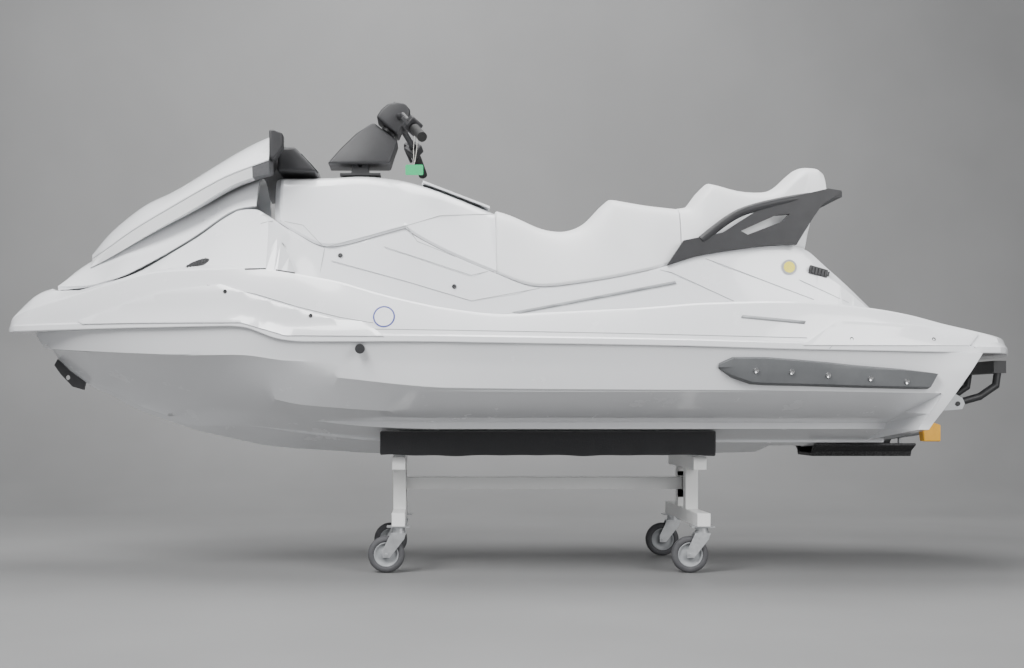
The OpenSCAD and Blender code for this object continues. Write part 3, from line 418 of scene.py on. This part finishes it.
def screws(name, spots, nodes, radius, coat, body="craft", proud=0.002, lift=0.0):
    """Round-headed screws with a socket, square to the skin, on both sides."""
    shape = bmesh.new()
    for x, z in spots:
        for side in (-1, 1):
            met = on_side(x, z, nodes, side)
            if not met:
                continue
            turn = met[1].to_track_quat("Z", "Y").to_matrix().to_4x4()
            place = Matrix.Translation(met[0] + met[1] * (lift + proud * 0.4)) @ turn
            made = bmesh.ops.create_cone(shape, cap_ends=True, segments=16, radius1=radius,
                                         radius2=radius * 0.8, depth=proud * 2, matrix=place)
            round_faces = {f for v in made["verts"] for f in v.link_faces if len(f.verts) == 16}
            tops = [f for f in round_faces if f.normal.dot(met[1]) > 0.9]
            bmesh.ops.inset_individual(shape, faces=tops, thickness=radius * 0.45, depth=-proud * 0.9)
    piece = show(name, shape, body, coat, smooth=False)
    return piece


both_skins = ("hull", "deck")
guard_thickness = 0.0035
overlay("bow_guard", [
    (-1.48, 0.87), (-1.29, 0.925), (-1.16, 0.96), (-1.02, 0.975), (-0.95, 0.98), (-0.775, 0.92), (-0.555, 0.855),
    (-0.475, 0.85), (-0.43, 0.82), (-0.405, 0.80), (-0.73, 0.805), (-0.88, 0.85), (-1.18, 0.855), (-1.46, 0.86),
], both_skins, guard_thickness, gelcoat)
overlay("quarter_guard", [
    (0.945, 0.77), (1.01, 0.815), (1.065, 0.85), (1.18, 0.845), (1.34, 0.835), (1.46, 0.82), (1.545, 0.81), (1.50, 0.77),
], both_skins, guard_thickness, gelcoat)
# The pale grey of the seam beads is painted shade in the seams between mouldings.
seam_shade_grey = Coat("pale grey seam shade", (0.42, 0.43, 0.44), Roughness=0.6)
seam_shade_grey.to("Base Color", seam_shade_grey.shade(seam_shade_grey.mottle(60, 4), (0.38, 0.39, 0.40), (0.50, 0.51, 0.52)))
shut_line("guard_shut_lines", [
    [(-1.0, 0.98), (-0.83, 0.945), (-0.685, 0.90), (-0.55, 0.865), (-0.44, 0.845)],
    [(1.03, 0.76), (1.085, 0.81), (1.335, 0.795), (1.475, 0.79), (1.52, 0.765)],
    [(-0.44, 0.825), (0.35, 0.81), (0.96, 0.795)],
], both_skins, 0.0016, seam_shade_grey)
shut_line("footwell_panel_lines", [
    [(-0.60, 1.085), (-0.345, 1.015), (-0.11, 0.945), (0.13, 0.99)],
    [(-0.415, 1.135), (-0.11, 1.035), (-0.05, 1.05)],
    [(0.555, 1.055), (0.595, 1.045), (0.81, 0.945)],
    [(0.715, 1.095), (1.095, 0.95)],
    [(1.045, 1.02), (1.22, 0.94)],
], ("deck",), 0.0012, seam_shade_grey)
shut_line("saddle_shut_lines", [
    [(-0.615, 1.135), (-0.335, 1.21), (-0.22, 1.25), (-0.03, 1.265)],
    [(-0.335, 1.205), (-0.30, 1.155), (-0.05, 1.055), (0.13, 0.995), (0.525, 1.06)],
    [(-0.84, 1.205), (-0.78, 1.225), (-0.70, 1.21), (-0.625, 1.13), (-0.64, 1.04)],
], ("deck", "console"), 0.0013, seam_shade_grey)
screws("guard_screws", [(-1.30, 0.87), (-1.015, 0.87), (-0.935, 0.955), (-0.645, 0.87), (1.105, 0.79), (1.38, 0.79)],
       both_skins, 0.0075, black_plastic, lift=guard_thickness + 0.0003)
screws("panel_screws", [(-0.57, 1.105), (-0.17, 0.995)], ("deck",), 0.0085, black_plastic)
# Black beads along the gunwale top are painted shadow between the gunwale and the bulge.
shut_line("gunwale_shadow_lines", [[(-0.87, 1.03), (-0.775, 1.03)], [(-0.765, 1.025), (-0.68, 1.01)]],
          ("deck",), 0.003, black_plastic)

# ---- Plain stripes and blank labels
# Two slim grey stripes on each side and two blank round labels, cut from
# printed film.
film = Coat("grey film", (0.30, 0.31, 0.32), Roughness=0.35)
film.to("Base Color", film.shade(film.mottle(30, 4), (0.26, 0.27, 0.28), (0.36, 0.37, 0.38)))
film_thickness = 0.0005
overlay("saddle_stripe", [(0.03, 0.905), (0.06, 0.90), (0.61, 1.005), (0.605, 1.015)],
        ("deck",), film_thickness, film, edge=0)
overlay("rail_stripe", [(0.75, 0.86), (0.955, 0.84), (0.96, 0.85), (0.755, 0.87)],
        both_skins, film_thickness, film, edge=0)


def label(name, x, z, radius, coat, nodes, lift):
    """A blank round label on the port side."""
    shape = bmesh.new()
    met = on_side(x, z, nodes)
    turn = met[1].to_track_quat("Z", "Y").to_matrix().to_4x4()
    bmesh.ops.create_circle(shape, cap_ends=True, segments=40, radius=radius,
                            matrix=Matrix.Translation(met[0] + met[1] * lift) @ turn)
    bmesh.ops.solidify(shape, geom=shape.faces[:], thickness=0.0006)
    bmesh.ops.recalc_face_normals(shape, faces=shape.faces)
    piece = show(name, shape, "craft", coat, smooth=False)
    return piece


blue_film = Coat("blue film", (0.05, 0.06, 0.30), Roughness=0.35)
blue_film.to("Base Color", blue_film.shade(blue_film.mottle(80, 4), (0.04, 0.05, 0.26), (0.08, 0.09, 0.36)))
white_film = Coat("white film", (0.85, 0.86, 0.88), Roughness=0.3)
white_film.to("Base Color", white_film.shade(white_film.mottle(80, 4), (0.80, 0.81, 0.84), (0.88, 0.88, 0.90)))
yellow_film = Coat("yellow film", (0.75, 0.62, 0.02), Roughness=0.35)
yellow_film.to("Base Color", yellow_film.shade(
    yellow_film.mottle(80, 4), (0.66, 0.55, 0.02), (0.82, 0.70, 0.04)))
edge_lift, face_lift = 0.0006, 0.0014
label("round_label_edge", -0.405, 0.865, 0.036, blue_film, both_skins, edge_lift)
label("round_label", -0.405, 0.865, 0.031, white_film, both_skins, face_lift)
label("small_label_edge", 1.01, 1.065, 0.027, film, ("deck",), edge_lift)
label("small_label", 1.01, 1.065, 0.020, yellow_film, ("deck",), face_lift)

# ---- Cleats
# A ribbed oval cleat is let into each side of the bow, and a square one into
# each side of the tail.
cleats = bmesh.new()
for x, z, long, wide in ((-1.05, 1.06, 0.047, 0.017), (1.115, 1.05, 0.05, 0.022)):
    for side in (-1, 1):
        met = on_side(x, z, ("deck",), side)
        if not met:
            continue
        fore = Vector((1, 0, 0.28 if x < 0 else -0.25))
        fore = (fore - met[1] * fore.dot(met[1])).normalized()
        turn = Matrix((fore, met[1].cross(fore), met[1])).transposed().to_4x4()
        at = Matrix.Translation(met[0] + met[1] * 0.001) @ turn
        corners, spin = (32, 0) if x < 0 else (4, math.radians(45))
        plate_at = at @ Matrix.Diagonal((long, wide, 1, 1)) @ Matrix.Rotation(spin, 4, "Z")
        bmesh.ops.create_cone(cleats, cap_ends=True, segments=corners, radius1=1, radius2=0.92, depth=0.006,
                              matrix=plate_at)
        for i in range(-3, 4):
            span = wide * 0.75 * math.sqrt(max(0.05, 1 - (i / 4) ** 2))
            rib_at = at @ Matrix.Translation((i * long * 0.24, 0, 0.005))
            bmesh.ops.create_cube(cleats, size=1, matrix=rib_at @ Matrix.Diagonal((long * 0.10, span * 1.6, 0.006, 1)))
cleat_piece = show("cleats", cleats, "craft", black_plastic, smooth=False)
soften(cleat_piece, 0.0012)

# ---- Mats
# Grooved foam mats glued to the footwell floors and the boarding platform.
mat_coat = Coat("grooved foam mat", (0.18, 0.185, 0.19), Roughness=0.85)
along_x = mat_coat.add("ShaderNodeSeparateXYZ", {}, {0: mat_coat.place}, 0)
along_y = mat_coat.add("ShaderNodeSeparateXYZ", {}, {0: mat_coat.place}, 1)
groove = (along_x + along_y).maths("PINGPONG", along_x + along_y, 0.006)
groove_bump_and_shade = mat_coat.step(groove, 0.0005, 0.0016)
# The grooves are painted darker than the mat's top, as painted shade in the grooves. The same mask cuts the grooves
# into the bump.
mat_coat.to("Base Color", mat_coat.shade(groove_bump_and_shade, (0.05, 0.05, 0.055), (0.20, 0.205, 0.21)))
mat_coat.to("Normal", mat_coat.bump(groove_bump_and_shade + mat_coat.mottle(500, 3) * 0.3, 0.0012, 0.8))
reskin("footwell_mats", "craft", mat_coat, 0.001)
reskin("platform_mat", "craft", mat_coat, 0.002)

# ---- Sponsons, ride plate, intake grate and stern tabs
# Grey plastic sponsons bolted along the hull's sides, and cast and painted
# fittings under the stern.
reskin("sponsons", "craft", grey_plastic, 0.004, 0, 30)
steel = Coat("brushed steel", (0.60, 0.60, 0.60), Roughness=0.28, Metallic=1.0)
lines = steel.mottle(120, 3, place=steel.stretch(1, 12, 1))
steel.to("Base Color", steel.shade(lines, (0.52, 0.52, 0.53), (0.70, 0.70, 0.70)))
steel.to("Roughness", steel.step(lines, 0.3, 0.7, 0.2, 0.38))
steel.to("Normal", steel.bump(lines, 0.0001, 0.4))
screws("sponson_bolts", [(0.795, 0.69), (0.91, 0.685), (1.03, 0.675), (1.17, 0.665), (1.29, 0.655)],
       ("sponsons",), 0.0095, steel, proud=0.003)
plate_paint = Coat("textured black paint", (0.03, 0.03, 0.03), Roughness=0.6, Metallic=0.3)
pits = plate_paint.mottle(220, 6, 0.7)
plate_paint.to("Base Color", plate_paint.shade(
    plate_paint.step(pits, 0.45, 0.75), (0.022, 0.022, 0.024), (0.12, 0.12, 0.12)))
plate_paint.to("Normal", plate_paint.bump(pits, 0.0008, 0.7))
reskin("ride_plate", "craft", plate_paint, 0.003)
reskin("intake_grate", "craft", plate_paint, 0.0015)
amber = Coat("amber paint", (0.85, 0.42, 0.02), Roughness=0.4)
amber.to("Base Color", amber.shade(amber.mottle(60, 5), (0.72, 0.33, 0.015), (0.90, 0.48, 0.03)))
reskin("stern_tabs", "craft", amber, 0.004)

# ---- Jet drive
# Cast alloy pump and nozzle, a machined stainless impeller and a cast reverse
# bucket.
cast = Coat("cast alloy", (0.42, 0.43, 0.44), Roughness=0.5, Metallic=0.85)
sand = cast.mottle(300, 5, 0.7)
cast.to("Base Color", cast.shade(sand, (0.32, 0.33, 0.34), (0.52, 0.53, 0.54)))
cast.to("Roughness", cast.step(sand, 0.3, 0.7, 0.40, 0.62))
cast.to("Normal", cast.bump(sand, 0.0005, 0.6))


def coat_node(node, coat):
    """Gives a CAD node that stays as it is its material."""
    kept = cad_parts[node]
    kept.data.materials.clear()
    kept.data.materials.append(coat.data)


for node in ("pump_housing", "jet_nozzle", "reverse_bucket"):
    coat_node(node, cast)
for node in ("impeller", "stern_tow_eye"):
    coat_node(node, steel)
for node in ("bow_eye", "drain_outlets"):
    coat_node(node, black_plastic)

# ---- Boarding step
# A bent steel tube in a black plastic coat, pinned to two brackets under the
# stern.
coat_node("boarding_step", black_plastic)
coat_node("step_brackets", cast)

# ---- Engine
# The engine's outer block, out of sight under the front seat.
engine_paint = Coat("engine paint", (0.10, 0.10, 0.11), Roughness=0.6)
engine_paint.to("Base Color", engine_paint.shade(
    engine_paint.mottle(30, 5), (0.08, 0.08, 0.085), (0.15, 0.15, 0.155)))
reskin("engine_block", "craft", engine_paint, 0.012)

# ---- Steering
# A tilting column in a black cover, with a bent steel bar, rubber grips and
# moulded switch housings.
rubber = Coat("black rubber", (0.014, 0.014, 0.014), Roughness=0.75)
rubber.to("Roughness", rubber.step(rubber.mottle(90, 4), 0.3, 0.7, 0.65, 0.85))
rubber.to("Normal", rubber.bump(rubber.cells(300), 0.0005, 0.5))
coat_node("steering_base", black_plastic)


def side_plate(name, outline, half, body, coat, edge, taper=1.0):
    """A moulding cut to an outline seen from abeam, narrowed towards its top."""
    shape = bmesh.new()
    bottom = shape.faces.new([shape.verts.new((x, -half, z)) for x, z in outline])
    made = bmesh.ops.extrude_face_region(shape, geom=[bottom])
    moved = [v for v in made["geom"] if isinstance(v, bmesh.types.BMVert)]
    bmesh.ops.translate(shape, verts=moved, vec=(0, 2 * half, 0))
    low, high = min(z for _, z in outline), max(z for _, z in outline)
    for vert in shape.verts:
        vert.co.y *= 1 + (taper - 1) * (vert.co.z - low) / (high - low)
    bmesh.ops.recalc_face_normals(shape, faces=shape.faces)
    bmesh.ops.bevel(shape, geom=shape.edges[:], offset=edge, segments=4, profile=0.5,
                    affect="EDGES", material=-1)
    piece = show(name, shape, body, coat)
    return piece


cover = side_plate("column_cover", [
    (-0.625, 1.45), (-0.575, 1.51), (-0.52, 1.565), (-0.46, 1.605), (-0.37, 1.535), (-0.385, 1.495), (-0.40, 1.45),
], 0.085, "steering_post", black_plastic, 0.008, 0.62)
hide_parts("steering_column")
side_plate("bar_pad", [
    (-0.45, 1.62), (-0.43, 1.65), (-0.405, 1.67), (-0.37, 1.675), (-0.345, 1.67), (-0.325, 1.645),
    (-0.33, 1.62), (-0.355, 1.59), (-0.37, 1.555),
], 0.072, "handlebars", black_plastic, 0.009)
reskin("handlebar", "handlebars", black_plastic, 0.006, 0, 40)
reskin("control_housings", "handlebars", black_plastic, 0.006, 0, 40)
coat_node("control_levers", black_plastic)
coat_node("grips", rubber)

# ---- Dolly
# Square steel tube, welded and powder coated white, with black carpet stapled
# over the timber bunks.
powder = Coat("white powder coat", (0.82, 0.82, 0.81), Roughness=0.35)
chips = powder.step(powder.mottle(45, 8, 0.75), 0.72, 0.76)
powder.to("Base Color", powder.shade(chips, (0.82, 0.82, 0.81), (0.42, 0.41, 0.39)))
powder.to("Normal", powder.bump(powder.mottle(260, 3), 0.0004, 0.35))
reskin("dolly_frame", "craft", powder, 0.003, 0, 40)
carpet = Coat("black carpet", (0.012, 0.012, 0.013), Roughness=1.0, Sheen_Weight=0.3)
tufts = carpet.mottle(420, 6, 0.8)
carpet.to("Base Color", carpet.shade(tufts, (0.006, 0.006, 0.007), (0.030, 0.030, 0.033)))
carpet.to("Normal", carpet.bump(tufts, 0.004, 1.0))
bunk_low, bunk_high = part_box("bunks")
bunk_size, bunk_mid = bunk_high - bunk_low, (bunk_low + bunk_high) / 2
bunk_inner = 0.236
half = (bunk_high.y - bunk_inner) / 2
pile, hem_rise, outer_slope, inner_slope = 0.002, 0.004, 0.004, 0.022
for side, side_name in ((-1, "port"), (1, "starboard")):
    wrap = bmesh.new()
    bmesh.ops.create_cube(wrap, size=1)
    bmesh.ops.scale(wrap, verts=wrap.verts, vec=(bunk_size.x - 2 * pile, half * 2 - pile, bunk_size.z - 2 * pile))
    bmesh.ops.translate(wrap, verts=wrap.verts, vec=(bunk_mid.x, side * (bunk_inner + half), bunk_mid.z))
    for i in range(1, 80):
        cut_across(wrap, (bunk_low.x + bunk_size.x * i / 80, 0, 0), (1, 0, 0))
    for share in (0.2, 0.4, 0.6, 0.8):
        cut_across(wrap, (0, 0, bunk_low.z + bunk_size.z * share), (0, 0, 1))
    for vert in wrap.verts:
        wave = noise.noise(Vector((vert.co.x * 9, side * 3.1, 0)))
        low_share = 1 - (vert.co.z - bunk_low.z) / bunk_size.z
        vert.co.z += max(0, low_share - 0.7) / 0.3 * (hem_rise + 0.006 * wave)
        vert.co.y -= side * max(0, low_share) ** 3 * 0.003 * (1 + math.sin(vert.co.x * 46 + 4 * wave))
        outside = vert.co.y * side > bunk_inner + half
        vert.co.z -= max(0, 1 - low_share * 3) * (outer_slope if outside else inner_slope)
    wrap_piece = show("carpeted_bunk_" + side_name, wrap, "craft", carpet)
    soften(wrap_piece, 0.010)
    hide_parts("bunks")

# ---- Casters
# Pressed steel forks, zinc plated, on bolted swivel plates. Each wheel is a
# hard rubber tyre on a moulded hub.
zinc = Coat("zinc plate", (0.62, 0.63, 0.64), Roughness=0.38, Metallic=0.9)
spangle = zinc.cells(90, "Distance")
zinc.to("Base Color", zinc.shade(zinc.mottle(40, 5), (0.50, 0.51, 0.52), (0.72, 0.73, 0.74)))
zinc.to("Roughness", zinc.step(spangle, 0, 0.9, 0.28, 0.5))
zinc.to("Normal", zinc.bump(zinc.mottle(180, 4), 0.0003, 0.4))
tread = Coat("grey wheel rubber", (0.07, 0.07, 0.075), Roughness=0.7)
tread.to("Base Color", tread.shade(tread.mottle(35, 6), (0.045, 0.045, 0.05), (0.11, 0.11, 0.115)))
tread.to("Normal", tread.bump(tread.mottle(200, 4), 0.0004, 0.5))
hub_coat = Coat("pale grey hub", (0.30, 0.31, 0.32), Roughness=0.45)
hub_coat.to("Base Color", hub_coat.shade(hub_coat.mottle(40, 5), (0.24, 0.25, 0.26), (0.38, 0.39, 0.40)))
hub_coat.to("Normal", hub_coat.bump(hub_coat.mottle(220, 3), 0.0003, 0.4))


def turned(profile, centre):
    """A ring turned about Y from a closed profile of radius and offset."""
    shape = bmesh.new()
    verts = [shape.verts.new((radius, offset, 0)) for radius, offset in profile]
    for a, b in zip(verts, verts[1:] + verts[:1]):
        shape.edges.new((a, b))
    bmesh.ops.spin(shape, geom=shape.verts[:] + shape.edges[:], cent=(0, 0, 0), axis=(0, 1, 0),
                   angle=2 * math.pi, steps=48, use_merge=True)
    bmesh.ops.recalc_face_normals(shape, faces=shape.faces)
    bmesh.ops.translate(shape, verts=shape.verts, vec=centre)
    return shape


coat_node("caster_plates", zinc)
for corner in ("front_port", "front_starboard", "rear_port", "rear_starboard"):
    reskin("fork_" + corner, "swivel_" + corner, zinc, 0.0012, 0, 40)
    low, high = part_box("wheel_" + corner)
    mid, rim = (low + high) / 2, (high.z - low.z) / 2
    tyre_side = [(rim * 0.66, 0.015), (rim * 0.80, 0.016), (rim * 0.92, 0.0145), (rim * 0.985, 0.0095),
                 (rim * 0.999, 0.004)]
    hub_side = [(0.0052, 0.02), (0.012, 0.02), (0.0125, 0.016), (0.0175, 0.0135), (0.02, 0.01),
                (rim * 0.58, 0.0085), (rim * 0.62, 0.0155), (rim * 0.67, 0.0155)]
    tyre, hub = (show(name + corner, turned([(r, -y) for r, y in profile] + profile[::-1], mid), "roller_" + corner, coat)
                 for name, profile, coat in (("tyre_", tyre_side, tread), ("hub_", hub_side, hub_coat)))
    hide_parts("wheel_" + corner)

# ---- Floor and light
# A pale sweep that turns up behind the craft, under three large soft lights.
sweep = bmesh.new()
edge = [sweep.verts.new((-9, y, z)) for y, z in ((-9, 0), (2.4, 0), (3.0, 0.16), (3.35, 0.5), (3.5, 1.0), (3.5, 7))]
for a, b in zip(edge, edge[1:]):
    sweep.edges.new((a, b))
made = bmesh.ops.extrude_edge_only(sweep, edges=sweep.edges[:])
bmesh.ops.translate(sweep, verts=[v for v in made["geom"] if isinstance(v, bmesh.types.BMVert)], vec=(18, 0, 0))
bmesh.ops.recalc_face_normals(sweep, faces=sweep.faces)
if sum(face.normal.z for face in sweep.faces) < 0:
    bmesh.ops.reverse_faces(sweep, faces=sweep.faces[:])
floor_mesh = bpy.data.meshes.new("floor")
sweep.to_mesh(floor_mesh)
sweep.free()
floor = bpy.data.objects.new("floor", floor_mesh)
bpy.context.scene.collection.objects.link(floor)
for face in floor_mesh.polygons:
    face.use_smooth = True
floor_coat = Coat("pale floor", (0.44, 0.44, 0.44), Roughness=0.5)
# Seen from behind, the sweep is clear, so that it never hides the craft.
floor_coat.to("Alpha", 1 - floor_coat.add("ShaderNodeNewGeometry", {}, {}, 6))
floor_coat.to("Base Color", floor_coat.shade(floor_coat.mottle(0.8, 4), (0.15, 0.15, 0.15), (0.23, 0.23, 0.23)))
floor_mesh.materials.append(floor_coat.data)

for name, spot, aim, size, power in (
        ("key", (-2.6, -3.6, 4.6), (0, 0, 0.7), 3.2, 470),
        ("fill", (3.4, -4.2, 2.6), (0.2, 0, 0.7), 3.0, 200),
        ("top", (0.2, 0.6, 5.2), (0, 0, 0.8), 4.0, 300)):
    glow = bpy.data.lights.new(name, "AREA")
    glow.shape, glow.size, glow.energy = "DISK", size, power
    lamp = bpy.data.objects.new(name, glow)
    lamp.location = spot
    lamp.rotation_euler = (Vector(aim) - Vector(spot)).to_track_quat("-Z", "Y").to_euler()
    bpy.context.scene.collection.objects.link(lamp)
air = bpy.data.worlds.new("studio")
air.use_nodes = True
air.node_tree.nodes["Background"].inputs[0].default_value = (0.80, 0.82, 0.85, 1)
air.node_tree.nodes["Background"].inputs[1].default_value = 0.45
bpy.context.scene.world = air
